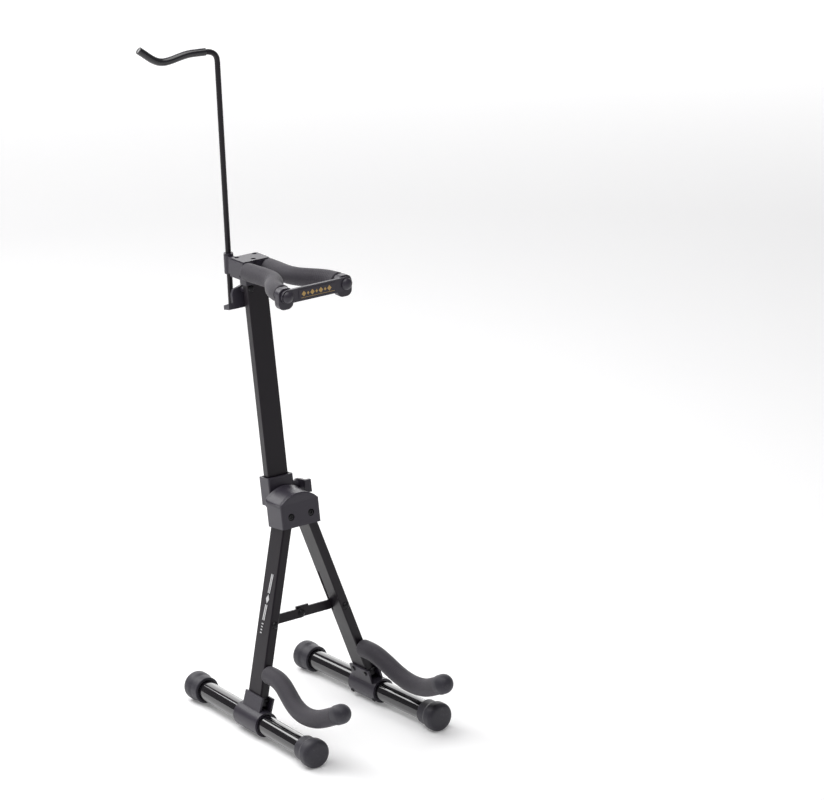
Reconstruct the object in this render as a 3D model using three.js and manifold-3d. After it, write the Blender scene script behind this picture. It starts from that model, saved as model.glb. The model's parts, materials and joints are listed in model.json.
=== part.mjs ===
// Folding stand for a small string instrument: an A-frame of two hinged legs on tube feet,
// a telescoping mast with a padded neck yoke and safety gate, padded body cradles, and a
// swivelling, sliding rod that ends in a coated bow hook.
//
// Millimetres, +Z up, -Y is the front (the side where the instrument hangs).
// The finished group stands on z = 0 with its bounding box centred on the Z axis.
import * as THREE from "three";
import { mergeVertices } from "three/addons/utils/BufferGeometryUtils.js";
import Module from "manifold-3d";

const wasm = await Module();
wasm.setup();

// ---- Clearances --------------------------------------------------------------------------
const fitGap = 0.3; // between pieces that touch or turn in one another
const foamGap = 1.0; // between a steel rod and the bore of the foam pushed over it

// ---- Legs and folding geometry -----------------------------------------------------------
const hingeHalfSpacing = 14.75; // hinge pins sit this far either side of the middle
const legLength = 257.5; // hinge pin to foot tube axis
const legThickness = 12.5;
const legDepth = 30;
const legWall = 1.5;
const legCorner = 2;
const legTopReach = 9; // leg tube above its hinge pin
const openAngle = 16.44; // degrees between a leg and the middle plane, standing
const foldedAngle = 0.91; // the same, folded
const footRake = 6.66; // degrees between a foot and the square across its leg

// ---- Feet --------------------------------------------------------------------------------
const footRadius = 12.7;
const footWall = 1.5;
const footReach = 149.4; // leg axis to the end of either cap
const capLength = 31;
const capMouthWall = 2.8; // around the tube
const capThickWall = 5.5;
const capMouthLength = 13.5; // straight mouth around the tube
const capSlope = 3; // between the mouth and the thick end
const capRounding = 5.5;
const capEndWall = 5;
const soleDepth = 0.7; // cut off the underside of each cap
const capBore = footRadius + fitGap;
const capMouthRadius = capBore + capMouthWall;
const capRadius = capBore + capThickWall;
const footHeight = capRadius - soleDepth; // foot tube axis above the floor

// ---- Foot brackets -----------------------------------------------------------------------
const bracketLength = 54;
const bracketWall = 3;
const socketDepth = 40; // upper part that clasps the leg
const socketHeight = 16;
const socketWall = 2.7;
const rivetSpacing = 25;
const rivetRadius = 1.7;
const rivetHeight = 27; // above the foot tube axis
const rivetCover = 1.2; // outer shell left over the end of each rivet
const shellScrewSpacing = 45;
const shellScrewRadius = 1.6;
const shellScrewTurn = 50; // degrees from straight down, towards the inner side

// ---- Cross brace -------------------------------------------------------------------------
const bracePivotDrop = 137; // below the hinge pins, along the leg
const braceHeight = 12;
const braceThickness = 2.5;
const braceEndRadius = legThickness / 2 - legWall - 1.5 * fitGap; // end that turns inside the leg
const braceFront = 5.5; // front face of the left link, behind the leg's middle
const braceLap = 0.6; // between the two links
const braceSlotFall = 7.5; // slot in the leg below the pivot
const braceSlotRoom = 3; // above the folded link
const bracePinRadius = 2.6;
const braceTabLength = 18;
const braceTabHeight = 2.6;
const boltRadius = 2.5;
const boltHeadRadius = 4.6;
const boltHeadHeight = 2.4;

// ---- Body cradles ------------------------------------------------------------------------
const cradleHeight = 60; // where a cradle leaves the leg, above the foot tube axis
const padRodRadius = 4;
const foamRadius = 11.5;
const tipRadius = 12.6;
const tipLength = 9; // straight part of the end cap behind its dome
const cradleRodInset = 9; // rod inside the leg
// Side view of one cradle: forward of the leg, and up or down from where it starts.
const cradleProfile = [
  [0, 0], [28, 0], [47, -7.5], [71, -19],
  [94, -23.5], [123, -20], [146, -10.5], [171, 2],
];

// ---- Pivot head and collar ---------------------------------------------------------------
const pivotHalfWidth = 28.3;
const pivotFront = 19.2;
const pivotRear = 16.6;
const pivotBottom = -14;
const pivotParting = 17; // where the cover sits on the housing
const pivotCrown = 29.2;
const pivotSideWall = 2.4;
const pivotSocketDepth = 2.2; // recess that takes a hinge bolt's head
const hingeBoltRadius = 3;
const hingeHeadRadius = 4.4;
const rimWidth = 2.4; // raised edge along the cover's front and rear arcs
const rimHeight = 1.2;
const mastSetback = 30.95; // mast centre behind the hinge pins
const collarBottom = 7.9;
const collarTop = 44.3;
const collarSideWall = 1.7;
const collarFrontWall = 3.5;
const linerWall = 1.3;
const linerInset = 1.2; // liner ends inside the collar's ends
const webHalfWidth = 9;

// ---- Mast --------------------------------------------------------------------------------
const mastWidth = 29.7;
const mastDepth = 11.7;
const mastWall = 1.5;
const mastCorner = 1.5;
const headHeight = 297.75; // underside of the head block above the hinge pins, raised
const plugFlange = 1.4; // the end plug's rim stands out this much and stops on the liner
const plugThickness = 3;
const plugLength = 18;

// ---- Lever screws: one clamps the collar on the mast, one locks the head ---------------------
// hub and plate measured from the face the lever turns on; offset moves the plate off its screw.
const collarLever = {
  screwRadius: 2.9, hubRadius: 6.4, hubLength: 8.2, offset: 0, width: 16.5, thickness: 2.5,
  reach: 20, lip: 5.1, lipHeight: 6.5, lipSide: 0,
};
const headLever = {
  screwRadius: 2, hubRadius: 3.8, hubLength: 8.5, offset: -7, width: 18, thickness: 3.6,
  reach: 23, lip: 9, lipHeight: 8, lipSide: 6, // the lip runs on past the plate
};
const collarLeverHeight = 25.5; // above the hinge pins
const collarBossRadius = 7;
const collarBossHeight = 3;
const headLeverDrop = 14.5; // screw below the head block's underside

// ---- Head block --------------------------------------------------------------------------
const headHalfWidth = 20.65;
const headFront = 8.4; // from the mast's centre
const headRear = 24.2;
const headTop = 23.7;
const headChamfer = 1.6;
const skirtWall = 2.2;
const skirtDrop = 7.4;
const headScrewRadius = 2.9;
const headScrewRecess = 4.5;
const headScrewPlaces = [[-13, 18], [13, 18], [0, 0]];
const headPinRadius = 1.3;
const headPinHeight = 4.6;
const headBoltX = -10.3;
const headBoltDrop = 12;
const notchHalfWidth = 5;
const notchDepth = 3;

// ---- Neck yoke and gate ------------------------------------------------------------------
const yokeDrop = 12; // arm axis below the head block's top
const yokeRise = 2.5; // the arms climb this much on their way forward
const mastTopInset = headTop - yokeDrop - padRodRadius - 3 * fitGap; // mast inside the head block
const yokeRodInset = 20; // rod inside the head block
// Plan of one arm: sideways, and forward of the mast's centre.
const yokePlan = [[16, 8.4], [15, 30], [14, 52], [15.5, 68], [23, 82], [33, 96], [39, 110], [41, 128]];
const yokeEarThickness = 10;
const yokeEarWidth = 21;
const yokeEarHeight = 27;
const yokeEarDrop = 3.5; // ear centre below the arm axis
const yokeEarCorner = 8;
const yokeRodSeat = 5; // rod inside the ear
const gateHalfSpacing = 42.6;
const gateHeight = 17;
const gateThickness = 4;
const gateHeadRadius = 7.4;
const gateHeadHeight = 5;
const badgeLength = 54;
const badgeHeight = 11;
const badgeThickness = 0.6;

// ---- Bow rod and hook ----------------------------------------------------------------------
const rodRadius = 3.5;
const rodX = -12.6;
const rodY = 37.8; // behind the mast's centre
const rodForwardTilt = 1.56; // degrees from the vertical of the head block
const rodSideTilt = 1.4; // degrees towards the left
const bossRadius = 6.2;
const bossHeight = 24.5;
const bushingWall = 0.9;
const bushingFlange = 1.2;
const rodRise = 261.7; // above the head block's top, raised
const rodTail = 66; // below the head block's top, raised
const hookYaw = 76.3; // degrees from straight back, turning to the left
const hookBendRadius = 10;
const sleeveRadius = 4.85;
const sleeveStart = 14; // sleeve starts this far out from the rod
const sleeveTipWall = 3;
// Side view of the hook: out from the rod, and up or down from its bend.
const hookProfile = [[22, 0.5], [38, 0.5], [52, -2.5], [63, -5], [73, -5], [83, 0], [92, 7.5], [100, 14]];

// ---- Finishes ----------------------------------------------------------------------------
const finishes = {
  satinBlack: { color: 0x1b1a1e, roughness: 0.42, metalness: 0.4 },
  glossBlack: { color: 0x0c0c0f, roughness: 0.16, metalness: 0.5 },
  plastic: { color: 0x232228, roughness: 0.55, metalness: 0 },
  rubber: { color: 0x26252b, roughness: 0.6, metalness: 0 },
  foam: { color: 0x2d2b33, roughness: 0.85, metalness: 0 },
  vinyl: { color: 0x17161a, roughness: 0.25, metalness: 0 },
  steel: { color: 0x6f6f76, roughness: 0.3, metalness: 0.9 },
  gold: { color: 0x9c7b3a, roughness: 0.35, metalness: 0.8 },
};

const radians = THREE.MathUtils.degToRad;
const footAxisFromLeg = radians(footRake);
// The stand leans back until both feet lie level.
const lean = Math.atan(Math.tan(footAxisFromLeg) * Math.cos(radians(openAngle)));
const hingeHeight = footHeight + legLength * Math.cos(radians(openAngle)) * Math.cos(lean);

// ---- Solids ------------------------------------------------------------------------------
function solid(geometry) {
  const bare = geometry.clone();
  bare.deleteAttribute("normal");
  bare.deleteAttribute("uv");
  const merged = mergeVertices(bare, 1e-4);
  const vertProperties = merged.getAttribute("position").array;
  const triVerts = new Uint32Array(merged.index.array);
  return new wasm.Manifold(new wasm.Mesh({ numProp: 3, vertProperties, triVerts }));
}

function geometryOf(manifold) {
  const mesh = manifold.getMesh();
  const geometry = new THREE.BufferGeometry();
  geometry.setAttribute("position", new THREE.BufferAttribute(mesh.vertProperties, 3));
  geometry.setIndex(new THREE.BufferAttribute(mesh.triVerts, 1));
  geometry.computeVertexNormals();
  return geometry;
}

function join(...geometries) {
  return geometryOf(geometries.map(solid).reduce((whole, next) => whole.add(next)));
}

function cut(geometry, ...tools) {
  return geometryOf(tools.map(solid).reduce((rest, tool) => rest.subtract(tool), solid(geometry)));
}

// ---- Basic shapes ------------------------------------------------------------------------
function block(width, depth, height, x = 0, y = 0, z = 0) {
  return new THREE.BoxGeometry(width, depth, height).translate(x, y, z);
}

// A round bar centred on the origin along "x", "y" or "z".
function bar(radius, length, axis = "z", sides = 16) {
  const geometry = new THREE.CylinderGeometry(radius, radius, length, sides);
  if (axis === "x") geometry.rotateZ(-Math.PI / 2);
  if (axis === "z") geometry.rotateX(Math.PI / 2);
  return geometry;
}

// A turned piece: [radius, height] points up the Z axis, from the axis back to the axis.
function turned(profile, sides = 24) {
  const points = profile.map(([radius, height]) => new THREE.Vector2(radius, height));
  return new THREE.LatheGeometry(points, sides).rotateX(Math.PI / 2);
}

// A bolt or rivet along +Z: its flat head stands on z = 0, the shank runs down from it.
function headedPin(headRadius, headHeight, shankRadius, shankLength, crown = 0.7) {
  const edge = headHeight * crown;
  return turned([
    [0, -shankLength],
    [shankRadius, -shankLength],
    [shankRadius, 0],
    [headRadius, 0],
    [headRadius, headHeight - edge],
    [headRadius * 0.72, headHeight - edge * 0.25],
    [0, headHeight],
  ], 16);
}

function roundedRectangle(width, height, radius, Outline = THREE.Shape) {
  const x = width / 2 - radius;
  const y = height / 2 - radius;
  const outline = new Outline();
  outline.absarc(x, y, radius, 0, Math.PI / 2);
  outline.absarc(-x, y, radius, Math.PI / 2, Math.PI);
  outline.absarc(-x, -y, radius, Math.PI, Math.PI * 1.5);
  outline.absarc(x, -y, radius, Math.PI * 1.5, Math.PI * 2);
  return outline;
}

// A flat outline in X and Y, pulled up along Z from `from` to `to`.
function slab(shape, from, to, curveSegments = 4) {
  const options = { depth: to - from, bevelEnabled: false, curveSegments };
  return new THREE.ExtrudeGeometry(shape, options).translate(0, 0, from);
}

// A rectangular tube along Z, open at both ends.
function boxTube(width, depth, wall, corner, from, to) {
  const shape = roundedRectangle(width, depth, corner);
  const inner = Math.max(corner - wall, 0.4);
  shape.holes.push(roundedRectangle(width - 2 * wall, depth - 2 * wall, inner, THREE.Path));
  return slab(shape, from, to, 3);
}

// The outline drawn in X and Z (as x, y of the shape), pulled along +Y from `from` to `to`.
function slabAlongY(shape, from, to, curveSegments = 6) {
  return slab(shape, -to, -from, curveSegments).rotateX(Math.PI / 2);
}

// The outline drawn in Y and Z (as x, y of the shape), pulled along +X from `from` to `to`.
function slabAlongX(shape, from, to, curveSegments = 6) {
  return slab(shape, from, to, curveSegments).rotateX(Math.PI / 2).rotateZ(Math.PI / 2);
}

function polygon(points) {
  return new THREE.Shape(points.map(([x, y]) => new THREE.Vector2(x, y)));
}

function disc(radius, Outline = THREE.Shape, x = 0, y = 0) {
  return new Outline().absarc(x, y, radius, 0, Math.PI * 2);
}

// ---- Bars and sleeves along a curve --------------------------------------------------------
// The stretch of a curve between two lengths measured along it.
function stretch(curve, from, to, count = 40) {
  const length = curve.getLength();
  const points = [];
  for (let i = 0; i <= count; i += 1) {
    const along = from + ((to - from) * i) / count;
    points.push(curve.getPointAt(THREE.MathUtils.clamp(along / length, 0, 1)));
  }
  return new THREE.CatmullRomCurve3(points);
}

function sweep(curve, radius, { bore = 0, sides = 12, step = 8 } = {}) {
  const section = disc(radius);
  if (bore > 0) section.holes.push(disc(bore, THREE.Path));
  const steps = Math.max(2, Math.round(curve.getLength() / step));
  const options = { steps, bevelEnabled: false, extrudePath: curve, curveSegments: sides / 2 };
  return new THREE.ExtrudeGeometry(section, options);
}

// ---- Scene graph -------------------------------------------------------------------------
function group(name, parent) {
  const made = new THREE.Group();
  made.name = name;
  parent.add(made);
  return made;
}

function piece(name, finish, geometry, parent) {
  const mesh = new THREE.Mesh(geometry, new THREE.MeshStandardMaterial(finishes[finish]));
  mesh.name = name;
  parent.add(mesh);
  return mesh;
}

// ---- One foot with its caps, bracket shells and fasteners ----------------------------------
// Foot frame: origin where the leg axis meets the foot tube axis, Y along the tube to the rear.
// `side` is -1 for the left leg and +1 for the right one, so side * x points outwards.
function footCap(side, front) {
  const profile = [
    [0, capEndWall],
    [capBore, capEndWall],
    [capBore, capLength],
    [capMouthRadius, capLength],
    [capMouthRadius, capLength - capMouthLength],
    [capRadius, capLength - capMouthLength - capSlope],
    [capRadius, capRounding],
    [capRadius - capRounding * 0.3, capRounding * 0.3],
    [capRadius - capRounding, 0],
    [0, 0],
  ];
  const turn = front ? -Math.PI / 2 : Math.PI / 2;
  const reach = front ? -footReach : footReach;
  const cap = turned(profile.reverse(), 24).rotateX(turn).translate(0, reach, 0);
  // The sole is level when the leg stands at its open angle.
  const below = block(3 * capRadius, 2.5 * capLength, capRadius, 0, reach, -footHeight - capRadius / 2);
  return cut(cap, below.rotateY(side * radians(openAngle)));
}

function bracketShell(outwards) {
  const inner = footRadius + fitGap;
  const outer = inner + bracketWall;
  const seam = Math.asin(fitGap / 2 / inner);
  const ring = new THREE.Shape();
  ring.absarc(0, 0, outer, -Math.PI / 2 + seam, Math.PI / 2 - seam);
  ring.absarc(0, 0, inner, Math.PI / 2 - seam, -Math.PI / 2 + seam, true);
  const innerFace = legThickness / 2 + fitGap;
  const outerFace = innerFace + socketWall;
  const foot = Math.sqrt(outer ** 2 - outerFace ** 2) - bracketWall / 2;
  const top = outer + socketHeight;
  const wall = polygon([[innerFace, foot], [outerFace, foot], [outerFace, top], [innerFace, top]]);
  const shell = join(
    slabAlongY(ring, -bracketLength / 2, bracketLength / 2, 9),
    slabAlongY(wall, -socketDepth / 2, socketDepth / 2),
  );
  return outwards > 0 ? shell : shell.rotateZ(Math.PI);
}

// A rivet set from the inner side: domed head there, shank ending inside the outer shell.
function rivetGeometry(side) {
  const face = legThickness / 2 + fitGap + socketWall + fitGap;
  const rivet = headedPin(rivetRadius * 1.9, 1.5, rivetRadius, 2 * face - rivetCover - 3 * fitGap);
  return rivet.translate(0, 0, face).rotateY(-side * Math.PI / 2);
}

// Screws sit on the lower inner quarter of the ring, pointing at the tube's axis.
function shellScrewAt(side, y, geometry) {
  const turn = side * radians(openAngle + shellScrewTurn);
  return geometry.rotateX(Math.PI).rotateY(turn).translate(0, y, 0);
}

function addFoot(name, side, parent) {
  const rivetPlaces = [-rivetSpacing / 2, rivetSpacing / 2];
  const screwPlaces = [-shellScrewSpacing / 2, shellScrewSpacing / 2];
  const ringRadius = footRadius + fitGap + bracketWall;
  const outerFace = legThickness / 2 + fitGap + socketWall;
  const rivetHoles = rivetPlaces.map((y) => bar(rivetRadius + fitGap, 4 * outerFace, "x", 12)
    .translate(side * (outerFace - rivetCover - 2 * outerFace), y, rivetHeight));
  const screwHoles = screwPlaces.map((y) =>
    shellScrewAt(side, y, bar(shellScrewRadius + fitGap, footRadius, "z", 12).translate(0, 0, ringRadius)));

  const tubeShape = disc(footRadius);
  tubeShape.holes.push(disc(footRadius - footWall, THREE.Path));
  const tubeReach = footReach - capEndWall - fitGap;
  const tube = slabAlongY(tubeShape, -tubeReach, tubeReach, 12);
  piece(`foot_tube_${name}`, "glossBlack", cut(tube, ...screwHoles), parent);
  piece(`foot_cap_front_${name}`, "rubber", footCap(side, true), parent);
  piece(`foot_cap_rear_${name}`, "rubber", footCap(side, false), parent);
  piece(`bracket_outer_${name}`, "plastic", cut(bracketShell(side), ...rivetHoles, ...screwHoles), parent);
  piece(`bracket_inner_${name}`, "plastic", cut(bracketShell(-side), ...rivetHoles, ...screwHoles), parent);
  rivetPlaces.forEach((y, i) => {
    const rivet = rivetGeometry(side).translate(0, y, rivetHeight);
    piece(`bracket_rivet_${name}_${i + 1}`, "steel", rivet, parent);
  });
  screwPlaces.forEach((y, i) => {
    const screw = headedPin(shellScrewRadius * 1.9, 1.5, shellScrewRadius, bracketWall + footWall + 1.2);
    const seated = screw.translate(0, 0, ringRadius + fitGap);
    piece(`bracket_screw_${name}_${i + 1}`, "steel", shellScrewAt(side, y, seated), parent);
  });
  return rivetHoles;
}

// ---- Body cradle: steel rod, foam sleeve and end cap ----------------------------------------
// Drawn in the foot frame, where "forward" is level.
function cradleCurve() {
  // Where the front face of the leg passes `cradleHeight` above the foot tube axis.
  const face = (-legDepth / 2 + cradleHeight * Math.sin(footAxisFromLeg)) / Math.cos(footAxisFromLeg);
  const path = [[-cradleRodInset, 0], ...cradleProfile];
  return new THREE.CatmullRomCurve3(
    path.map(([forward, rise]) => new THREE.Vector3(0, face - forward, cradleHeight + rise)),
  );
}

function addCradle(name, parent) {
  const curve = cradleCurve();
  const length = curve.getLength();
  const foamFrom = cradleRodInset + 2.2;
  const foamTo = length - tipLength - fitGap;
  const rodTo = length - 2;
  piece(`cradle_rod_${name}`, "steel", sweep(stretch(curve, 0, rodTo), padRodRadius, { sides: 8 }), parent);
  const foam = sweep(stretch(curve, foamFrom, foamTo), foamRadius, { bore: padRodRadius + foamGap });
  piece(`cradle_foam_${name}`, "foam", foam, parent);
  piece(`cradle_tip_${name}`, "rubber", endCap(curve, length), parent);
}

// A domed cap on the end of a padded rod, with a blind bore for the rod.
function endCap(curve, length) {
  const bore = padRodRadius + foamGap;
  const dome = [];
  const domeSteps = 5;
  for (let i = 0; i <= domeSteps; i += 1) {
    const angle = (Math.PI / 2) * (i / domeSteps);
    dome.push([tipRadius * Math.cos(angle), tipRadius * Math.sin(angle)]);
  }
  dome[domeSteps][0] = 0;
  const profile = [[0, 0], [bore, 0], [bore, -tipLength], [tipRadius, -tipLength], ...dome];
  const cap = turned(profile, 16);
  const end = curve.getPointAt(1);
  const aim = new THREE.Quaternion().setFromUnitVectors(new THREE.Vector3(0, 0, 1), curve.getTangentAt(1));
  return cap.applyQuaternion(aim).translate(end.x, end.y, end.z);
}

// ---- One leg ------------------------------------------------------------------------------
// Leg frame: origin on the hinge pin, leg running down -Z.
function addLeg(name, side, parent) {
  const leg = group(`leg_${name}_frame`, parent);
  leg.position.set(side * hingeHalfSpacing, 0, 0);
  leg.rotation.y = -side * radians(openAngle);
  const foot = group(`foot_${name}_frame`, leg);
  foot.position.set(0, 0, -legLength);
  foot.rotation.x = footAxisFromLeg;
  const rivetHoles = addFoot(name, side, foot);
  addCradle(name, foot);

  // Everything that passes through the leg tube, in the leg frame.
  foot.updateMatrix();
  const placed = (geometry) => geometry.clone().applyMatrix4(foot.matrix);
  const ringTop = footRadius + fitGap + bracketWall;
  const tubeBottom = -legLength + ringTop + (legDepth / 2) * Math.tan(footAxisFromLeg) + 2 * fitGap;
  const hingeHole = bar(hingeBoltRadius + fitGap, 2 * legDepth, "y");
  const braceHole = bar(boltRadius + fitGap, 2 * legDepth, "y", 16).translate(0, 0, -bracePivotDrop);
  const slotRise = braceSlotRise(side);
  const slotHeight = slotRise + braceSlotFall;
  const slotDepth = braceThickness + 2 * fitGap;
  const slotY = linkFront(side) + braceThickness / 2;
  const slotZ = -bracePivotDrop + (slotRise - braceSlotFall) / 2;
  const braceSlot = block(legThickness, slotDepth, slotHeight, (-side * legThickness) / 2, slotY, slotZ);
  const holePath = stretch(cradleCurve(), 0, 2 * cradleRodInset);
  const cradleHole = sweep(holePath, padRodRadius + fitGap, { sides: 14 });
  const tube = boxTube(legThickness, legDepth, legWall, legCorner, tubeBottom, legTopReach);
  const holes = [hingeHole, braceHole, braceSlot, placed(cradleHole), ...rivetHoles.map(placed)];
  piece(`leg_tube_${name}`, "satinBlack", cut(tube, ...holes), leg);

  const grip = legDepth + 2 * fitGap;
  const frontHead = headedPin(boltHeadRadius, boltHeadHeight, boltRadius, grip + 0.5);
  const rearHead = headedPin(boltHeadRadius * 0.9, boltHeadHeight * 0.8, boltRadius, 1);
  const braceBolt = join(
    frontHead.translate(0, 0, grip / 2),
    rearHead.rotateX(Math.PI).translate(0, 0, -grip / 2),
  );
  braceBolt.rotateX(Math.PI / 2).translate(0, 0, -bracePivotDrop);
  piece(`brace_bolt_${name}`, "steel", braceBolt, leg);
}

// ---- Cross brace --------------------------------------------------------------------------
// The right link lies behind the left one.
function linkFront(side) {
  return side < 0 ? braceFront : braceFront + braceThickness + braceLap;
}

// How far above the pivot a folded link's upper edge leaves the leg's inner face.
function braceSlotRise(side) {
  const edge = braceHeight / 2 + (side > 0 ? braceTabHeight : 0);
  const pivotOut = bracePivotDrop * Math.sin(radians(openAngle));
  const foldedOut = bracePivotDrop * Math.sin(radians(foldedAngle));
  const tilt = Math.acos((hingeHalfSpacing + foldedOut) / (hingeHalfSpacing + pivotOut));
  const face = legThickness / 2;
  return Math.tan(tilt) * (face + edge * Math.sin(tilt)) + edge * Math.cos(tilt) + braceSlotRoom;
}

// Link frame: origin on its pivot in the leg, link running towards the middle along +X.
function braceLink(span, front, withPinHole) {
  const shape = new THREE.Shape();
  const half = braceHeight / 2;
  shape.absarc(0, 0, braceEndRadius, Math.PI / 2, Math.PI * 1.5);
  shape.lineTo(braceEndRadius + 5, -half);
  shape.absarc(span, 0, half, -Math.PI / 2, Math.PI / 2);
  shape.lineTo(braceEndRadius + 5, half);
  shape.holes.push(disc(boltRadius + fitGap, THREE.Path));
  if (withPinHole) shape.holes.push(disc(bracePinRadius + fitGap, THREE.Path, span, 0));
  return slabAlongY(shape, front, front + braceThickness, 12);
}

function addBrace(parent) {
  const reach = bracePivotDrop * Math.sin(radians(openAngle));
  const drop = bracePivotDrop * Math.cos(radians(openAngle));
  const span = hingeHalfSpacing + reach;
  const left = group("brace_left_frame", parent);
  left.position.set(-span, 0, -drop);
  piece("brace_link_left", "satinBlack", braceLink(span, linkFront(-1), true), left);
  // The pin rides in the left link and stops short of the right one.
  const shank = braceThickness + fitGap - 0.1;
  const pin = headedPin(bracePinRadius * 1.75, 2, bracePinRadius, shank).rotateX(Math.PI / 2);
  piece("brace_pin", "steel", pin.translate(span, braceFront - fitGap, 0), left);
  const right = group("brace_right_frame", parent);
  right.position.set(span, 0, -drop);
  const behind = linkFront(1);
  const link = braceLink(span, -behind - braceThickness, false).rotateZ(Math.PI);
  // A raised stop tab above the lap.
  const tab = block(braceTabLength, braceThickness, 2 * braceTabHeight, 4 - span,
    behind + braceThickness / 2, braceHeight / 2);
  piece("brace_link_right", "satinBlack", join(link, tab), right);
}

// ---- Pivot head: housing with the mast collar, arched cover, hinge bolts and liner ----------
function collarOutline(margin, Outline = THREE.Shape) {
  const width = mastWidth + 2 * margin;
  const depth = mastDepth + 2 * margin;
  return roundedRectangle(width, depth, mastCorner, Outline);
}

function addPivotHead(parent) {
  const depth = pivotFront + pivotRear;
  const middle = (pivotRear - pivotFront) / 2;
  const linerOuter = fitGap + linerWall;
  const collarBore = linerOuter + fitGap;
  const collarShape = roundedRectangle(
    mastWidth + 2 * (collarBore + collarSideWall),
    mastDepth + 2 * (collarBore + collarFrontWall),
    2,
  );
  collarShape.holes.push(collarOutline(collarBore, THREE.Path));
  const collar = slab(collarShape, collarBottom, collarTop).translate(0, mastSetback, 0);
  const collarFace = mastSetback - mastDepth / 2 - collarBore - collarFrontWall;
  const collarSide = mastWidth / 2 + collarBore + collarSideWall;

  const housing = slab(roundedRectangle(2 * pivotHalfWidth, depth, 2.5), pivotBottom, pivotParting)
    .translate(0, middle, 0);
  const webLength = collarFace - pivotRear + 2;
  const web = block(2 * webHalfWidth, webLength, 14, 0, (collarFace + pivotRear) / 2, 8);
  const gusset = block(2 * webHalfWidth, webLength, 8, 0, (collarFace + pivotRear) / 2, collarBottom + 2);
  const boss = bar(collarBossRadius, collarBossHeight + 1, "x")
    .translate(collarSide + (collarBossHeight - 1) / 2, mastSetback, collarLeverHeight);
  const cavityHalf = pivotHalfWidth - pivotSideWall;
  const cavity = block(2 * cavityHalf, legDepth + 2 * fitGap, 60, 0, 0, 0);
  const screwHole = bar(collarLever.screwRadius + fitGap, 30, "x")
    .translate(collarSide, mastSetback, collarLeverHeight);
  const boltHoles = [-1, 1].flatMap((side) => [
    bar(hingeBoltRadius + fitGap, 80, "y").translate(side * hingeHalfSpacing, 0, 0),
    bar(hingeHeadRadius + fitGap, 2 * pivotSocketDepth, "y")
      .translate(side * hingeHalfSpacing, -pivotFront, 0),
  ]);
  const body = join(housing, web, gusset, collar, boss);
  piece("pivot_housing", "plastic", cut(body, cavity, ...boltHoles, screwHole), parent);

  // The cover: flat underneath, arched on top, with a raised rim along both arcs.
  const from = pivotParting + fitGap;
  const archOutline = (rise) => {
    const shoulder = pivotParting + 1.6 + rise;
    const crown = pivotCrown - rimHeight + rise;
    const sag = crown - shoulder;
    const arcHalf = pivotHalfWidth - 1.5;
    const radius = (arcHalf ** 2 + sag ** 2) / (2 * sag);
    const sweepAngle = Math.asin(arcHalf / radius);
    const outline = new THREE.Shape();
    outline.moveTo(-pivotHalfWidth, from);
    outline.lineTo(pivotHalfWidth, from);
    outline.lineTo(pivotHalfWidth, shoulder - 0.8);
    outline.absarc(0, crown - radius, radius, Math.PI / 2 - sweepAngle, Math.PI / 2 + sweepAngle);
    outline.lineTo(-pivotHalfWidth, shoulder - 0.8);
    return outline;
  };
  const cover = join(
    slabAlongY(archOutline(0), -pivotFront, pivotRear, 20),
    slabAlongY(archOutline(rimHeight), -pivotFront, -pivotFront + rimWidth, 20),
    slabAlongY(archOutline(rimHeight), pivotRear - rimWidth, pivotRear, 20),
  );
  piece("pivot_cover", "plastic", cover, parent);

  const boltSeat = -pivotFront + pivotSocketDepth - fitGap;
  const boltEnd = pivotRear + fitGap;
  [["left", -1], ["right", 1]].forEach(([name, side]) => {
    const pinLength = boltEnd - boltSeat + 1.9;
    const bolt = headedPin(hingeHeadRadius, pivotSocketDepth - 0.7, hingeBoltRadius, pinLength, 0.4);
    bolt.rotateX(Math.PI / 2).translate(0, boltSeat, 0);
    const nut = bar(hingeHeadRadius, 1.9, "y", 6).translate(0, boltEnd + 0.95, 0);
    const hexSocket = bar(1.9, 2, "y", 6).translate(0, boltSeat - pivotSocketDepth + 0.9, 0);
    const finished = cut(join(bolt, nut), hexSocket);
    piece(`hinge_bolt_${name}`, "steel", finished.translate(side * hingeHalfSpacing, 0, 0), parent);
  });

  const linerShape = collarOutline(linerOuter);
  linerShape.holes.push(collarOutline(fitGap, THREE.Path));
  const liner = slab(linerShape, collarBottom + linerInset, collarTop - linerInset);
  piece("mast_liner", "plastic", liner.translate(0, mastSetback, 0), parent);

  addCollarLever(parent, collarSide, mastWidth / 2 + linerOuter + 2 * fitGap);
}

// ---- A lever: hub, flat plate and outward lip -----------------------------------------------
// Lever frame: origin on the face the hub turns on, axis along +Y, the plate pointing down -Z.
function leverBody({ hubRadius, hubLength, offset, width, thickness, reach, lip, lipHeight, lipSide }) {
  const hub = bar(hubRadius, hubLength, "y").translate(0, hubLength / 2, 0);
  const left = offset - width / 2;
  const right = offset + width / 2;
  const shape = new THREE.Shape();
  shape.moveTo(left, -reach);
  shape.lineTo(right, -reach);
  shape.lineTo(right, -hubRadius * 0.5);
  shape.absarc(0, 0, hubRadius + 1.4, -0.3, Math.PI / 2);
  shape.lineTo(Math.min(left + 3, -hubRadius), hubRadius * 0.4);
  shape.lineTo(left, -hubRadius);
  const plate = slabAlongY(shape, hubLength - 1, hubLength + thickness);
  const outerFace = hubLength + thickness + lip;
  const lipOutline = polygon([
    [hubLength, -reach],
    [outerFace, -reach - 1],
    [outerFace, -reach - 1 + lipHeight * 0.7],
    [hubLength, -reach + lipHeight],
  ]);
  return join(hub, plate, slabAlongX(lipOutline, left - lipSide, right));
}

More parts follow.
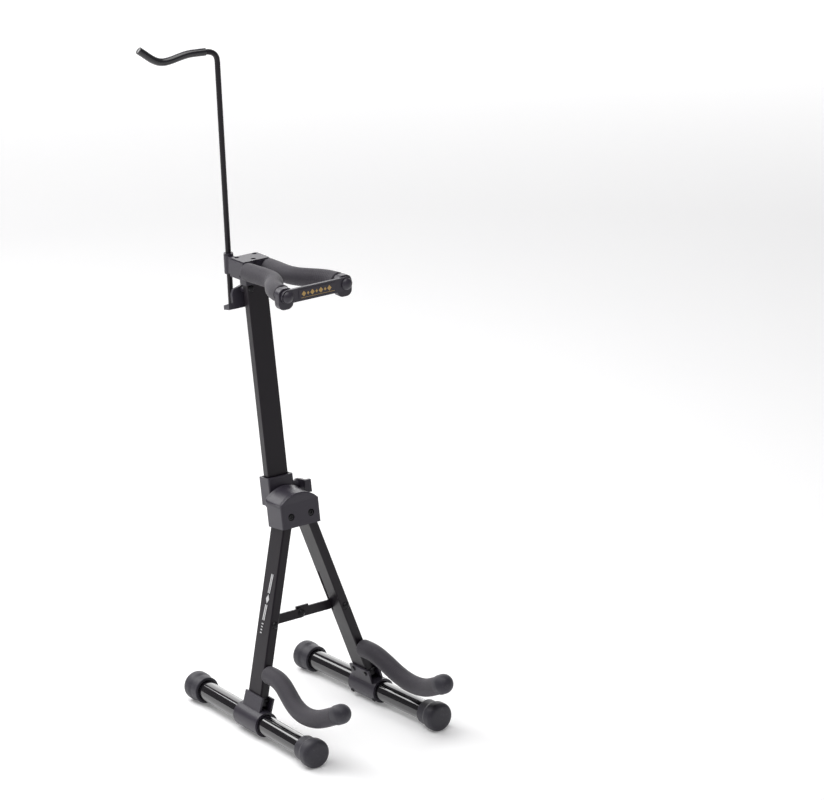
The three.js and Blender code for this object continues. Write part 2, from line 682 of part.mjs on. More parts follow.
function addCollarLever(parent, collarSide, screwTip) {
  const lever = group("collar_lever_frame", parent);
  lever.position.set(collarSide + collarBossHeight + fitGap, mastSetback, collarLeverHeight);
  // The axis points to the right and the plate forward.
  const [x, y, z] = [[1, 0, 0], [0, 1, 0], [0, 0, 1]].map((axis) => new THREE.Vector3(...axis));
  lever.quaternion.setFromRotationMatrix(new THREE.Matrix4().makeBasis(z, x, y));
  const { screwRadius } = collarLever;
  const screwDepth = 5;
  const bore = bar(screwRadius + fitGap, 2 * screwDepth, "y");
  piece("collar_lever", "plastic", cut(leverBody(collarLever), bore), lever);
  const from = screwTip - lever.position.x;
  const to = screwDepth - fitGap;
  const screw = bar(screwRadius, to - from, "y").translate(0, (to + from) / 2, 0);
  piece("collar_lever_screw", "steel", screw, lever);
}

// ---- Mast: tube, end plug, head bolt and lock lever ------------------------------------------
// Mast frame: origin on the mast's centre line at the underside of the head block, raised.
function addMast(parent) {
  const mast = group("mast_frame", parent);
  mast.position.set(0, mastSetback, headHeight);
  const linerBottom = collarBottom + linerInset - headHeight;
  const bottom = linerBottom - fitGap;
  const tube = boxTube(mastWidth, mastDepth, mastWall, mastCorner, bottom, mastTopInset);
  const halfDepth = mastDepth / 2;
  const boltHole = bar(2 + fitGap, 8, "y", 12).translate(headBoltX, -halfDepth, -headBoltDrop);
  const leverHole = bar(headLever.screwRadius + fitGap, 8, "y", 12)
    .translate(headBoltX, halfDepth, -headLeverDrop);
  const level = group("level_frame", mast);
  level.rotation.x = lean;
  level.updateMatrix();
  const pinHole = bar(headPinRadius + fitGap, 80, "x", 12).translate(0, 0, headPinHeight);
  pinHole.applyMatrix4(level.matrix);
  piece("mast_tube", "satinBlack", cut(tube, boltHole, leverHole, pinHole), mast);

  const inside = mastWall + fitGap;
  const plug = join(
    slab(collarOutline(plugFlange), bottom - fitGap - plugThickness, bottom - fitGap),
    slab(collarOutline(-inside), bottom - fitGap - plugThickness / 2, bottom + plugLength),
  );
  piece("mast_plug", "plastic", plug, mast);

  const bolt = headedPin(4.25, 2.6, 2, mastWall + fitGap + 3, 0.9).rotateX(Math.PI / 2);
  piece("head_bolt", "steel", bolt.translate(headBoltX, -halfDepth - fitGap, -headBoltDrop), mast);
  addHeadLever(mast);
  addHead(level);
}

function addHeadLever(mast) {
  const lever = group("head_lever_frame", mast);
  lever.position.set(headBoltX, mastDepth / 2 + fitGap, -headLeverDrop);
  const screwReach = mastWall + fitGap + 2;
  const screw = bar(headLever.screwRadius, screwReach + 2, "y", 12).translate(0, (2 - screwReach) / 2, 0);
  piece("head_lever", "plastic", join(leverBody(headLever), screw), lever);
}

// ---- Head block with screws, yoke, gate and bow rod ------------------------------------------
// Level frame: origin as the mast frame, but upright when the stand leans on its feet.
function addHead(level) {
  const depth = headFront + headRear;
  const middle = (headRear - headFront) / 2;
  const flatShape = roundedRectangle(2 * headHalfWidth, depth, 1.5);
  const flat = slab(flatShape, 0, headTop - headChamfer).translate(0, middle, 0);
  const lid = slab(roundedRectangle(2 * (headHalfWidth - headChamfer), depth - 2 * headChamfer, 1.5),
    headTop - headChamfer - 1, headTop).translate(0, middle, 0);
  const upright = new THREE.Matrix4().makeRotationX(-lean); // from the mast's direction
  const skirt = slab(collarOutline(skirtWall), -skirtDrop, 3).applyMatrix4(upright);
  const socket = slab(collarOutline(fitGap), -skirtDrop - 5, mastTopInset + fitGap).applyMatrix4(upright);

  const rodFrame = group("rod_frame", level);
  rodFrame.position.set(rodX, rodY, headTop);
  rodFrame.rotation.set(radians(rodForwardTilt), -radians(rodSideTilt), 0);
  rodFrame.updateMatrix();
  const boss = bar(bossRadius, bossHeight, "z").translate(0, 0, -bossHeight / 2);
  boss.applyMatrix4(rodFrame.matrix);
  const webMiddle = (rodY + headRear) / 2 - 1;
  const bossWeb = block(8, rodY - headRear, bossHeight - 3, rodX, webMiddle, headTop - bossHeight / 2);
  const bore = rodRadius + 2 * fitGap + bushingWall;
  const rodBore = bar(bore, 80, "z").applyMatrix4(rodFrame.matrix);

  const screwTop = headTop - headScrewRecess;
  const screwHoles = headScrewPlaces.flatMap(([x, y]) => [
    bar(headScrewRadius + fitGap, 2 * headScrewRecess, "z").translate(x, y, headTop),
    bar(1.5 + fitGap, 8, "z", 10).translate(x, y, screwTop - 2),
  ]);
  const pinHole = bar(headPinRadius + fitGap, 80, "x", 12).translate(0, 0, headPinHeight);
  const notch = slab(polygon([
    [-notchHalfWidth, -headFront - 1],
    [notchHalfWidth, -headFront - 1],
    [0, -headFront + notchDepth],
  ]), headTop - 9, headTop + 1);
  const armHeight = headTop - yokeDrop;
  const armHoles = [-1, 1].map((side) => {
    const hole = bar(padRodRadius + fitGap, 2 * (yokeRodInset + fitGap), "y", 16);
    return hole.translate(side * yokePlan[0][0], -headFront, armHeight);
  });
  const body = join(flat, lid, skirt, boss, bossWeb);
  const headBody = cut(body, socket, rodBore, pinHole, notch, ...screwHoles, ...armHoles);
  piece("head_block", "plastic", headBody, level);

  headScrewPlaces.forEach(([x, y], i) => {
    const screw = headedPin(headScrewRadius - 0.3, 1.6, 1.5, 3.2, 0.3);
    piece(`head_screw_${i + 1}`, "steel", screw.translate(x, y, screwTop + fitGap), level);
  });
  const pin = bar(headPinRadius, 2 * headHalfWidth - 1, "x", 12).translate(0, 0, headPinHeight);
  piece("head_pin", "steel", pin, level);

  [["left", -1], ["right", 1]].forEach(([name, side]) => addYokeArm(name, side, level, armHeight));
  addGate(level, armHeight);
  addBowRod(rodFrame);
}

function addYokeArm(name, side, level, armHeight) {
  const [, armStart] = yokePlan[0];
  const [, armEnd] = yokePlan[yokePlan.length - 1];
  const riseAt = (forward) => Math.max(0, yokeRise * (forward - armStart) / (armEnd - armStart));
  const path = [[yokePlan[0][0], yokePlan[0][1] - yokeRodInset], ...yokePlan];
  const curve = new THREE.CatmullRomCurve3(
    path.map(([sideways, forward]) =>
      new THREE.Vector3(side * sideways, -forward, armHeight + riseAt(forward))),
    false, "chordal",
  );
  const length = curve.getLength();
  const foamFrom = yokeRodInset + foamGap;
  const rod = sweep(stretch(curve, 0.2, length), padRodRadius, { sides: 8 });
  const [endX, endForward] = yokePlan[yokePlan.length - 1];
  const endHeight = armHeight + yokeRise;
  const rodEnd = bar(padRodRadius * 0.9, yokeRodSeat, "y", 12);
  rodEnd.translate(side * endX, -endForward - 1, endHeight);
  piece(`yoke_rod_${name}`, "steel", join(rod, rodEnd), level);
  const foamPath = stretch(curve, foamFrom, length - foamGap);
  const foam = sweep(foamPath, foamRadius, { bore: padRodRadius + foamGap });
  piece(`yoke_foam_${name}`, "foam", foam, level);

  // End piece: a thick ear that closes the foam, hangs a little below it and carries the gate bolt.
  const earFrom = -endForward - yokeEarThickness;
  const ear = slabAlongY(roundedRectangle(yokeEarWidth, yokeEarHeight, yokeEarCorner), earFrom, -endForward)
    .translate(side * gateHalfSpacing, 0, endHeight - yokeEarDrop);
  const boltDepth = yokeEarThickness - yokeRodSeat - 1;
  const boltHole = bar(boltRadius + fitGap, 2 * boltDepth, "y", 14);
  boltHole.translate(side * gateHalfSpacing, earFrom, endHeight);
  const rodHole = bar(padRodRadius + 2 * fitGap, 2 * yokeRodSeat, "y", 16)
    .translate(side * endX, -endForward, endHeight);
  piece(`yoke_end_${name}`, "plastic", cut(ear, boltHole, rodHole), level);

  const headSeat = earFrom - gateThickness - 2 * fitGap;
  const shank = earFrom + boltDepth - fitGap - headSeat;
  const bolt = headedPin(gateHeadRadius, gateHeadHeight, boltRadius, shank, 0.9).rotateX(Math.PI / 2);
  piece(`gate_bolt_${name}`, "plastic", bolt.translate(side * gateHalfSpacing, headSeat, endHeight), level);
}

// Gate frame: origin on the right gate bolt, the bar running to the left.
function addGate(level, armHeight) {
  const gate = group("gate_frame", level);
  const endForward = yokePlan[yokePlan.length - 1][1];
  const gateY = -endForward - yokeEarThickness - fitGap;
  gate.position.set(gateHalfSpacing, gateY, armHeight + yokeRise);
  const span = 2 * gateHalfSpacing;
  const half = gateHeight / 2;
  const shape = new THREE.Shape();
  shape.absarc(0, 0, half, -Math.PI / 2, Math.PI / 2);
  shape.absarc(-span, 0, half, Math.PI / 2, Math.PI * 1.5);
  shape.holes.push(disc(boltRadius + fitGap, THREE.Path));
  const plate = slabAlongY(shape, -gateThickness, 0, 12);
  // Hook slot, open underneath: the bar lifts off the left bolt as it turns up.
  const slotHalf = boltRadius + fitGap;
  const seat = bar(slotHalf, 3 * gateThickness, "y", 16).translate(-span, 0, 0);
  const mouth = block(2 * slotHalf + 1.2, 3 * gateThickness, gateHeight, -span, 0, -half);
  piece("gate_bar", "plastic", cut(plate, seat, mouth), gate);
  const badge = slabAlongY(roundedRectangle(badgeLength, badgeHeight, 2), 0, badgeThickness);
  badge.translate(-span / 2, -gateThickness - fitGap - badgeThickness, 0);
  piece("gate_badge", "gold", badge, gate);
}

// Rod frame: origin on the rod's axis at the head block's top, Z up the rod.
function addBowRod(rodFrame) {
  const inner = rodRadius + fitGap;
  const outer = inner + bushingWall;
  const bushing = turned([
    [inner, -bossHeight + 1],
    [outer, -bossHeight + 1],
    [outer, 2 * fitGap],
    [outer + bushingFlange, 2 * fitGap],
    [outer + bushingFlange, 2 * fitGap + 1.2],
    [inner, 2 * fitGap + 1.2],
    [inner, -bossHeight + 1],
  ]);
  piece("rod_bushing", "plastic", bushing, rodFrame);

  const spin = group("hook_frame", rodFrame);
  spin.rotation.z = radians(hookYaw);
  const rise = rodRise - hookBendRadius;
  const points = [];
  for (let z = -rodTail; z < rise - 20; z += 16) points.push([0, z]);
  points.push([0, rise - 8], [0, rise]);
  for (let angle = 30; angle <= 90; angle += 30) {
    const turn = radians(angle);
    points.push([hookBendRadius * (1 - Math.cos(turn)), rise + hookBendRadius * Math.sin(turn)]);
  }
  hookProfile.forEach(([out, up]) => points.push([out, rodRise + up]));
  const knots = points.map(([out, z]) => new THREE.Vector3(0, out, z));
  const curve = new THREE.CatmullRomCurve3(knots, false, "chordal");
  const length = curve.getLength();
  const sleeveFrom = rise + rodTail + (hookBendRadius * Math.PI) / 2 + sleeveStart - hookBendRadius;
  const rodPath = stretch(curve, 0, length - sleeveTipWall - fitGap, 120);
  const rod = sweep(rodPath, rodRadius, { sides: 8, step: 7 });
  piece("bow_rod", "satinBlack", rod, spin);
  const skin = sweep(stretch(curve, sleeveFrom, length), sleeveRadius, { sides: 10, step: 6 });
  const hollowPath = stretch(curve, sleeveFrom - 5, length - sleeveTipWall);
  const hollow = sweep(hollowPath, rodRadius + 2 * fitGap, { sides: 8, step: 6 });
  piece("hook_sleeve", "vinyl", cut(skin, hollow), spin);
}

// ---- Assembly ----------------------------------------------------------------------------
const stand = new THREE.Group();
stand.name = "stand";
const leaned = group("hinge_frame", stand);
leaned.position.z = hingeHeight;
leaned.rotation.x = -lean;
addPivotHead(leaned);
addLeg("left", -1, leaned);
addLeg("right", 1, leaned);
addBrace(leaned);
addMast(leaned);

// Put the middle of the footprint on the Z axis and the soles on z = 0.
stand.updateMatrixWorld(true);
const bounds = new THREE.Box3().setFromObject(stand, true);
leaned.position.x -= (bounds.min.x + bounds.max.x) / 2;
leaned.position.y -= (bounds.min.y + bounds.max.y) / 2;
leaned.position.z -= bounds.min.z;

export default stand;
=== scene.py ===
"""Folding stand for a small string instrument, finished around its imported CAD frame.

Metres, +Z up. Every place is read from the frame. The named lengths are the radii and walls
of the CAD pieces that are made again here, and details that the CAD model leaves out, such as
edge rounding, foam wrinkles and surface grain.
"""
import json
import math

import bmesh
import bpy
import numpy as np
from mathutils import Matrix, Vector, noise


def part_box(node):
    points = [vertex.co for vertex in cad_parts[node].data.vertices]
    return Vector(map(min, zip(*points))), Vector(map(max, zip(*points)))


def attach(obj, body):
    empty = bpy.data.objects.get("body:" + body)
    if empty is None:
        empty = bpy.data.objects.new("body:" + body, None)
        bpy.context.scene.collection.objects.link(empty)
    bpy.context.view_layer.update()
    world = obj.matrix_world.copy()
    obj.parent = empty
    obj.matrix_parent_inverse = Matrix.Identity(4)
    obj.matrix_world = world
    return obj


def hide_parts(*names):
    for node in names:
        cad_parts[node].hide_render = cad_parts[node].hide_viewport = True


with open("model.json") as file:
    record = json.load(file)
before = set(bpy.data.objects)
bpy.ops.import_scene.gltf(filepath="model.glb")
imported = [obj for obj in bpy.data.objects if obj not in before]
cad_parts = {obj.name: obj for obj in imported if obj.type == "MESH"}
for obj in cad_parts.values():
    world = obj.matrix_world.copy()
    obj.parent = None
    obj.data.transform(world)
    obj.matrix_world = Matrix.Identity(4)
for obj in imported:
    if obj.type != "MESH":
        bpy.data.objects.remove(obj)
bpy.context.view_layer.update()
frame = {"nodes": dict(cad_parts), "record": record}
nodes = frame["nodes"]
bodies = frame["record"]["behaviour"]["bodies"]
body_of = {node: body for body, members in bodies.items() for node in members}
slot_of = {part["node"]: part["material_slot"] for part in frame["record"]["subparts"]}

MM = 0.001
SIDES = ("left", "right")
FORWARD = (0, -1, 0)

# ---- Camera ------------------------------------------------------------------------------------
VIEW_AZIMUTH = -34.2323  # degrees round from the front, to the left
VIEW_ELEVATION = 17.9806
VIEW_ROLL = -2.1215
VIEW_DISTANCE = 5.3025
VIEW_LENS = 185.79  # millimetres on a sensor 36 mm wide
VIEW_SENSOR = 36
AIM_RIGHT = 0.15443  # from the middle of the pivot cover
AIM_UP = 0.11242

# ---- Sizes of the CAD pieces that are made again -----------------------------------------------
FIT_GAP = 0.3 * MM  # between CAD pieces that meet
TUBE_RADIUS = 12.7 * MM
TUBE_WALL = 1.5 * MM
FOAM_RADIUS = 11.5 * MM
FOAM_BORE = 5.0 * MM
TIP_RADIUS = 12.6 * MM
TIP_LENGTH = 9 * MM
ROD_RADIUS = 3.5 * MM
SLEEVE_RADIUS = 4.85 * MM
GATE_HEAD_RADIUS = 7.4 * MM
GATE_HEAD_HEIGHT = 5 * MM


def middle(node):
    low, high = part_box(node)
    return (low + high) / 2


def eased(share):
    """Goes smoothly from 0 to 1 as `share` does, and stays there outside that range."""
    share = min(max(share, 0.0), 1.0)
    return share * share * (3 - 2 * share)


# ---- Materials ---------------------------------------------------------------------------------
class Graph:
    """A material's nodes, added one at a time and linked by socket name."""

    def __init__(self, name):
        self.material = bpy.data.materials.new(name)
        self.material.use_nodes = True
        self.tree = self.material.node_tree
        self.shader = self.tree.nodes["Principled BSDF"]
        self.place = self.add("ShaderNodeTexCoord").outputs["Object"]

    def add(self, kind, inputs=None, **settings):
        node = self.tree.nodes.new(kind)
        for key, value in settings.items():
            setattr(node, key, value)
        for key, value in (inputs or {}).items():
            self.feed(node.inputs[key], value)
        return node

    def feed(self, socket, value):
        if isinstance(value, bpy.types.NodeSocket):
            self.tree.links.new(value, socket)
        else:
            socket.default_value = value

    def noise(self, scale, detail=3.0, stretch=None):
        place = self.place
        if stretch:
            place = self.add("ShaderNodeMapping", {"Vector": place, "Scale": stretch}).outputs[0]
        inputs = {"Vector": place, "Scale": scale, "Detail": detail}
        return self.add("ShaderNodeTexNoise", inputs).outputs["Fac"]

    def ramp(self, value, low, high, start=0.3, end=0.7):
        """A value between `low` and `high` as the input goes from `start` to `end`."""
        inputs = {"Value": value, "From Min": start, "From Max": end, "To Min": low, "To Max": high}
        return self.add("ShaderNodeMapRange", inputs).outputs["Result"]

    def mix(self, factor, first, second):
        node = self.add("ShaderNodeMix", data_type="RGBA")
        self.feed(node.inputs[0], factor)
        self.feed(node.inputs[6], (*first, 1) if isinstance(first, tuple) else first)
        self.feed(node.inputs[7], (*second, 1) if isinstance(second, tuple) else second)
        return node.outputs[2]

    def bump(self, height, strength, distance, normal=None):
        inputs = {"Height": height, "Strength": strength, "Distance": distance}
        node = self.add("ShaderNodeBump", inputs)
        if normal:
            self.feed(node.inputs["Normal"], normal)
        return node.outputs["Normal"]

    def set(self, **inputs):
        for key, value in inputs.items():
            self.feed(self.shader.inputs[key.replace("_", " ")], value)
        return self.material


def satin_metal():
    """Black powder coat with a fine orange peel."""
    g = Graph("satin_powder_coat")
    cloud = g.noise(22, 4)
    peel = g.noise(900, 2)
    base = g.mix(cloud, (0.0078, 0.0055, 0.0088), (0.0108, 0.0078, 0.012))
    rough = g.ramp(cloud, 0.3, 0.4)
    return g.set(Base_Color=base, Roughness=rough, Specular_IOR_Level=0.34,
                 Normal=g.bump(peel, 0.22, 0.06 * MM))


def gloss_metal():
    """Gloss black paint on round tube, with faint length-wise scuffs."""
    g = Graph("gloss_black_paint")
    cloud = g.noise(30, 3)
    scuffs = g.noise(70, 5, stretch=(6.0, 0.6, 6.0))
    base = g.mix(cloud, (0.005, 0.0045, 0.006), (0.009, 0.008, 0.0105))
    rough = g.ramp(scuffs, 0.07, 0.17, 0.45, 0.75)
    return g.set(Base_Color=base, Roughness=rough, Coat_Weight=0.6,
                 Coat_Roughness=0.04, Normal=g.bump(g.noise(420, 2), 0.08, 0.04 * MM))


def moulded_plastic():
    """Spark-eroded moulding texture on glass-filled nylon."""
    g = Graph("moulded_nylon")
    grain = g.noise(1500, 3)
    cloud = g.noise(90, 5)
    base = g.mix(cloud, (0.0295, 0.0255, 0.0365), (0.0325, 0.0282, 0.04))
    return g.set(Base_Color=base, Roughness=g.ramp(grain, 0.34, 0.46), Specular_IOR_Level=0.5,
                 Normal=g.bump(grain, 0.22, 0.08 * MM))


def rubber():
    """Matt rubber with specks of dust."""
    g = Graph("cap_rubber")
    cloud = g.noise(45, 5)
    dust = g.ramp(g.noise(260, 6), 0.0, 1.0, 0.58, 0.72)
    base = g.mix(cloud, (0.024, 0.0222, 0.031), (0.031, 0.0288, 0.0395))
    base = g.mix(g.ramp(dust, 0.0, 0.16, 0.0, 1.0), base, (0.12, 0.118, 0.122))
    return g.set(Base_Color=base, Roughness=g.ramp(cloud, 0.48, 0.62), Sheen_Weight=0.06,
                 Normal=g.bump(g.noise(1300, 3), 0.22, 0.08 * MM))


def foam():
    """Closed-cell foam: open pores on a fine skin, with painted shade darkening the middle of each
    pore.
    """
    g = Graph("closed_cell_foam")
    pores = g.add("ShaderNodeTexVoronoi", {"Vector": g.place, "Scale": 1400.0}).outputs["Distance"]
    cloud = g.noise(38, 5)
    fine = g.noise(700, 4)
    base = g.mix(cloud, (0.03, 0.0262, 0.0345), (0.04, 0.0352, 0.0455))
    # painted shade: the base colour goes darker towards the middle of each pore, where the pit is
    base = g.mix(g.ramp(pores, 0.35, 0.0, 0.05, 0.35), base, (0.008, 0.0075, 0.009))
    normal = g.bump(pores, 0.4, 0.14 * MM)
    normal = g.bump(fine, 0.3, 0.16 * MM, normal)
    return g.set(Base_Color=base, Roughness=g.ramp(fine, 0.62, 0.82), Sheen_Weight=0.14,
                 Sheen_Roughness=0.5, Normal=normal)


def vinyl():
    """Glossy dipped coat, slightly uneven."""
    g = Graph("dipped_vinyl")
    cloud = g.noise(60, 3)
    return g.set(Base_Color=g.mix(cloud, (0.009, 0.0088, 0.0115), (0.016, 0.0155, 0.019)),
                 Roughness=g.ramp(cloud, 0.16, 0.3), Coat_Weight=0.4, Coat_Roughness=0.12,
                 Normal=g.bump(g.noise(180, 3), 0.2, 0.15 * MM))


def zinc_steel():
    """Black zinc plate: dark, with bright points where it is curved."""
    g = Graph("black_zinc_steel")
    brushed = g.noise(900, 4, stretch=(1.0, 1.0, 0.12))
    return g.set(Base_Color=g.mix(g.noise(90), (0.07, 0.068, 0.075), (0.12, 0.116, 0.124)),
                 Roughness=g.ramp(brushed, 0.16, 0.3), Metallic=1.0,
                 Normal=g.bump(brushed, 0.15, 0.03 * MM))


def black_oxide():
    """Oiled black screws."""
    g = Graph("black_oxide")
    cloud = g.noise(350, 4)
    base = g.mix(cloud, (0.012, 0.012, 0.0135), (0.028, 0.0275, 0.03))
    return g.set(Base_Color=base, Roughness=g.ramp(cloud, 0.2, 0.36), Metallic=0.75,
                 Normal=g.bump(g.noise(1500), 0.12, 0.03 * MM))


def foil():
    """Stamped gold foil."""
    g = Graph("gold_foil")
    cloud = g.noise(240, 4)
    return g.set(Base_Color=g.mix(cloud, (0.36, 0.22, 0.07), (0.62, 0.44, 0.2)),
                 Roughness=g.ramp(cloud, 0.25, 0.42), Metallic=0.85,
                 Normal=g.bump(g.noise(1200), 0.15, 0.03 * MM))


def white_ink():
    """Screen-printed ink, slightly worn."""
    g = Graph("white_ink")
    cloud = g.noise(500, 4)
    return g.set(Base_Color=g.mix(cloud, (0.5, 0.5, 0.51), (0.72, 0.72, 0.73)),
                 Roughness=g.ramp(cloud, 0.45, 0.6), Normal=g.bump(cloud, 0.2, 0.03 * MM))


def studio_floor():
    """White, with a faint glow that grows away from the object, where less light falls."""
    g = Graph("studio_floor")
    away = g.add("ShaderNodeVectorMath", {0: g.place}, operation="LENGTH").outputs["Value"]
    glow = g.ramp(away, 0.14, 0.7, 2.4, 6.0)
    return g.set(Base_Color=g.mix(g.noise(3), (0.93, 0.93, 0.935), (0.95, 0.95, 0.95)),
                 Roughness=0.75, Emission_Color=(1, 1, 1, 1), Emission_Strength=glow)


materials = {
    "satin_metal": satin_metal(),
    "gloss_metal": gloss_metal(),
    "moulded": moulded_plastic(),
    "rubber": rubber(),
    "foam": foam(),
    "vinyl": vinyl(),
    "steel": zinc_steel(),
    "bolt_black": black_oxide(),
    "badge_gold": foil(),
}
ink = white_ink()


# ---- Reading centre lines from the frame -------------------------------------------------------
def triangles(node):
    mesh = nodes[node].data
    mesh.calc_loop_triangles()
    corners = np.array([v.co for v in mesh.vertices])
    return corners[np.array([t.vertices for t in mesh.loop_triangles])]


def section(corners, point, normal, reach):
    """Centre and outline length of the cut through `point`, within `reach` of it."""
    side = (corners - point) @ normal
    crossed = (side.min(axis=1) < 0) & (side.max(axis=1) >= 0)
    total = 0.0
    weighted = np.zeros(3)
    for triangle, heights in zip(corners[crossed], side[crossed]):
        cut = []
        for i, j in ((0, 1), (1, 2), (2, 0)):
            if (heights[i] < 0) != (heights[j] < 0):
                share = heights[i] / (heights[i] - heights[j])
                cut.append(triangle[i] + (triangle[j] - triangle[i]) * share)
        centre = (cut[0] + cut[1]) / 2
        if np.linalg.norm(centre - point) < reach:
            length = np.linalg.norm(cut[0] - cut[1])
            total += length
            weighted += centre * length
    return (weighted / total if total else point), total


def follow(corners, start, heading, step, radius):
    """Steps along a tube from `start` until its end face, which the last point lies on."""
    points = []
    point = start
    _, full = section(corners, point, heading, 1.8 * radius)
    while len(points) < 400:
        ahead, length = section(corners, point + heading * step, heading, 1.8 * radius)
        if length < 0.75 * full:
            break
        heading = (ahead - point) / np.linalg.norm(ahead - point)
        point = ahead
        points.append(point)
    flat = corners.reshape(-1, 3)
    along = (flat - point) @ heading
    across = np.linalg.norm((flat - point) - np.outer(along, heading), axis=1)
    near = (across < 1.3 * radius) & (along > 0) & (along < 3 * step)
    if near.any():
        points.append(point + heading * along[near].max())
    return points


def centre_line(node, heading, radius, step=2 * MM, at=None):
    """Points along the middle of a tube node, from its end against `heading` to its other end."""
    corners = triangles(node)
    heading = np.array(heading, float)
    start = np.array(at if at is not None else middle(node), float)
    reach = 1.8 * radius if at is not None else 1.0
    start, _ = section(corners, start, heading, reach)
    back = follow(corners, start, -heading, step, radius)
    ahead = follow(corners, start, heading, step, radius)
    return np.array(back[::-1] + [start] + ahead)


def smoothed(points, spacing, blur):
    """The line resampled at about `spacing`, its corners rounded over `blur`, its ends kept."""
    points = np.asarray(points)
    lengths = np.r_[0, np.cumsum(np.linalg.norm(np.diff(points, axis=0), axis=1))]
    count = max(2, round(lengths[-1] / spacing))
    along = np.linspace(0, lengths[-1], count + 1)
    even = np.array([np.interp(along, lengths, points[:, i]) for i in range(3)]).T
    if blur <= 0:
        return even
    pad = int(3 * blur / spacing) + 1
    start = even[0] + (even[0] - even[1:pad + 1][::-1])
    end = even[-1] + (even[-1] - even[-pad - 1:-1][::-1])
    padded = np.vstack([start, even, end])
    offsets = np.arange(-pad, pad + 1)
    weights = np.exp(-0.5 * (offsets * spacing / blur) ** 2)
    weights /= weights.sum()
    return np.array([np.convolve(padded[:, i], weights, mode="valid") for i in range(3)]).T


def frames_along(points):
    """Tangents and two turning-free cross directions at each point."""
    tangents = np.gradient(points, axis=0)
    tangents /= np.linalg.norm(tangents, axis=1)[:, None]
    seed = np.array([0.0, 0.0, 1.0]) if abs(tangents[0][2]) < 0.9 else np.array([1.0, 0.0, 0.0])
    across = np.cross(tangents[0], seed)
    ups = []
    for tangent in tangents:
        across = across - tangent * (across @ tangent)
        across /= np.linalg.norm(across)
        ups.append(across)
    ups = np.array(ups)
    return tangents, ups, np.cross(tangents, ups)


# ---- Mesh making -------------------------------------------------------------------------------
def new_piece(name, bm, smooth_angle=40):
    bmesh.ops.recalc_face_normals(bm, faces=bm.faces)
    mesh = bpy.data.meshes.new(name)
    bm.to_mesh(mesh)
    bm.free()
    mesh.shade_smooth()
    mesh.set_sharp_from_angle(angle=math.radians(smooth_angle))
    piece = bpy.data.objects.new(name, mesh)
    bpy.context.scene.collection.objects.link(piece)
    return piece


def ring_mesh(rings, closed_loop=False):
    """Joins rings of equal length by quads, closing the two ends with fans unless looped."""
    bm = bmesh.new()
    rows = [[bm.verts.new(point) for point in ring] for ring in rings]
    count = len(rows[0])
    pairs = list(zip(rows, rows[1:]))
    if closed_loop:
        pairs.append((rows[-1], rows[0]))
    for first, second in pairs:
        for i in range(count):
            j = (i + 1) % count
            bm.faces.new((first[i], first[j], second[j], second[i]))
    if not closed_loop:
        bm.faces.new(rows[0])
        bm.faces.new(rows[-1])
    return bm


def circle(centre, first, second, radius, sides):
    angles = np.linspace(0, 2 * math.pi, sides, endpoint=False)
    return centre + radius * (np.outer(np.cos(angles), first) + np.outer(np.sin(angles), second))


def round_bar(points, radius, rounding, sides=32):
    """A solid bar along points, its two end edges rounded over."""
    tangents, ups, sideways = frames_along(points)
    lengths = np.r_[0, np.cumsum(np.linalg.norm(np.diff(points, axis=0), axis=1))]
    rings = end_rings(points[0], tangents[0], ups[0], sideways[0], radius, rounding, sides)
    for i, along in enumerate(lengths):
        if rounding < along < lengths[-1] - rounding:
            rings.append(circle(points[i], ups[i], sideways[i], radius, sides))
    tail = end_rings(points[-1], -tangents[-1], ups[-1], sideways[-1], radius, rounding, sides)
    return ring_mesh(rings + tail[::-1])


def end_rings(end, inwards, up, sideways, radius, rounding, sides, steps=5):
    """Rings from an end face inwards over its rounded edge."""
    rings = []
    for i in range(steps + 1):
        turn = math.pi / 2 * i / steps
        inset = rounding * (1 - math.cos(turn))
        size = radius - rounding * (1 - math.sin(turn))
        rings.append(circle(end + inwards * inset, up, sideways, size, sides))
    return rings


def lozenge(x, y, half_width, half_height):
    return [(x - half_width, y), (x, y - half_height), (x + half_width, y), (x, y + half_height)]


def rectangle(x, y, half_width, half_height):
    return [(x - half_width, y - half_height), (x + half_width, y - half_height),
            (x + half_width, y + half_height), (x - half_width, y + half_height)]


class Plates:
    """Flat plates on one plane, all of one thickness, drawn with (across, up) points."""

    def __init__(self, origin, across, up, out, thickness):
        self.bm = bmesh.new()
        self.across, self.up = across, up
        self.levels = (origin, origin + out * thickness)

    def corners(self, level, outline):
        return [self.bm.verts.new(level + self.across * x + self.up * y) for x, y in outline]

    def add(self, outline):
        back, front = (self.corners(level, outline) for level in self.levels)
        self.bm.faces.new(back)
        self.bm.faces.new(front)
        for i in range(len(outline)):
            j = (i + 1) % len(outline)
            self.bm.faces.new((back[i], back[j], front[j], front[i]))


def finished(piece, node):
    """Gives a piece the body, slot and finish of the CAD node that it stands for."""
    piece.data.materials.clear()
    piece.data.materials.append(materials[slot_of[node]])
    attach(piece, body_of[node])
    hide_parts(node)
    return piece


def trim(name, bm, node, slot, material=None):
    """An added piece that rides with a CAD node and replaces none."""
    piece = new_piece(name, bm)
    piece.data.materials.append(material or materials[slot])
    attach(piece, body_of[node])


# ---- Softened copies of moulded and cut pieces -------------------------------------------------
BEVEL_SEGMENTS = 3
BEVEL_ANGLE = 32  # edges bent by more than this are rounded
FLAT_ANGLE = 1.2  # faces bent by less than this are merged
SAME_POINT = 0.004 * MM


